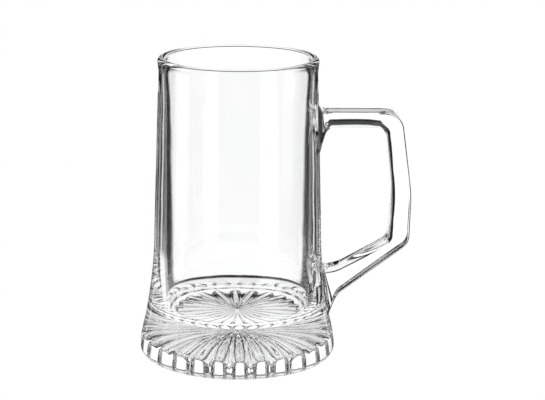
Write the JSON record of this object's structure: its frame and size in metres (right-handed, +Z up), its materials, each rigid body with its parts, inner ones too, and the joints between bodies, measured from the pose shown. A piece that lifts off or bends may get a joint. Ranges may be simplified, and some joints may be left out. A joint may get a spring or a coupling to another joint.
{
  "type": "glass beer mug",
  "caption": "Clear pressed-glass beer mug with a gently flared wall, an angular handle and a star of rays pressed up into its thick foot.",
  "frame": {"origin": "on the axis of the mug's body, in the plane that its foot ring stands on", "axes": "+Z up along the body's axis to the rim, +X from the axis towards the handle, +Y across; the mug is symmetric about the XZ plane but for the star's small turn"},
  "size_m": [0.1376, 0.0998, 0.155],
  "materials": {
    "body_glass": "clear, fire-polished",
    "handle_glass": "clear, fire-polished"
  },
  "bodies": {
    "root": {"mug_body": "body_glass", "handle": "handle_glass"}
  },
  "joints": []
}
